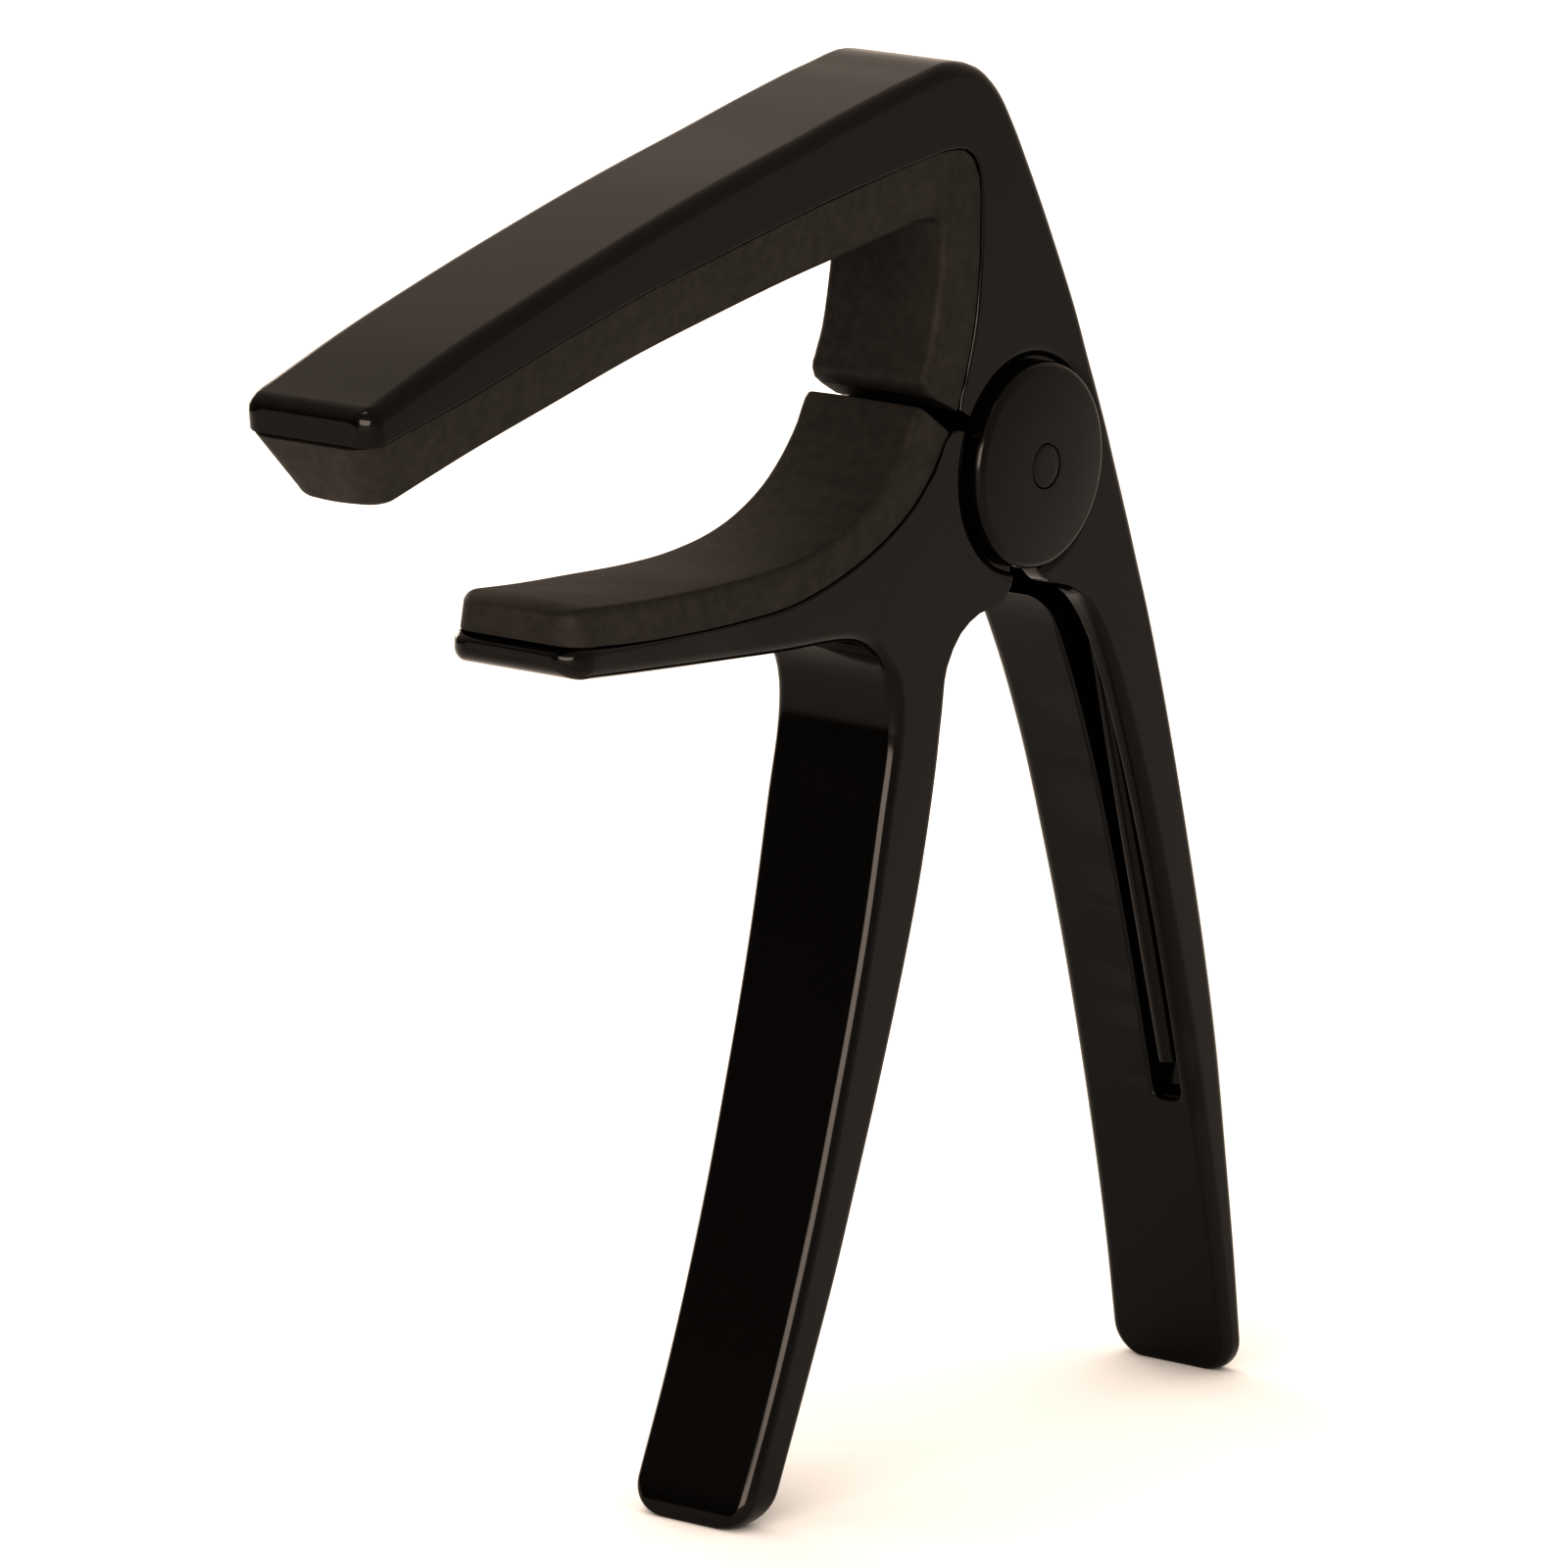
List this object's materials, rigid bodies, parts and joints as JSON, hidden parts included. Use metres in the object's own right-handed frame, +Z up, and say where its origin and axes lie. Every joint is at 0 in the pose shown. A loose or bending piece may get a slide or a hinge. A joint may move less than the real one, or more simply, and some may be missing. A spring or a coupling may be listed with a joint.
{
  "type": "guitar capo",
  "caption": "Spring clamp capo for a guitar neck: a padded bar and a padded cradle on two handles that share a hinge and a torsion spring.",
  "frame": {"origin": "on the floor, under the middle of the whole part's bounding box", "axes": "+Z up, +Y along the hinge pin towards the far cap, -X towards the open ends of the jaws"},
  "size_m": [0.1123, 0.015, 0.1113],
  "materials": {
    "paint": "satin black paint on a die-cast alloy",
    "pad_rubber": "matte black",
    "black_steel": "satin black",
    "steel": "drawn",
    "nylon": "matte"
  },
  "bodies": {
    "frame": {"rear_frame": "paint", "string_pad": "pad_rubber", "pivot_pin": "black_steel", "pivot_cap_near": "black_steel", "pivot_cap_far": "black_steel", "pivot_sleeve": "steel", "thrust_washer_coil": "nylon", "thrust_washer_fork": "nylon", "torsion_spring": "black_steel"},
    "lever": {"front_lever": "paint", "neck_pad": "pad_rubber"}
  },
  "joints": [
    {"name": "lever_hinge", "type": "hinge", "parent": "frame", "child": "lever", "pos_m": [0.0242, 0, 0.0789], "axis": [0, -1, 0], "range_deg": [0, 18], "stiffness_Nm_per_rad": 1.4, "springref_deg": -34.38, "deforming": ["torsion_spring"]}
  ]
}
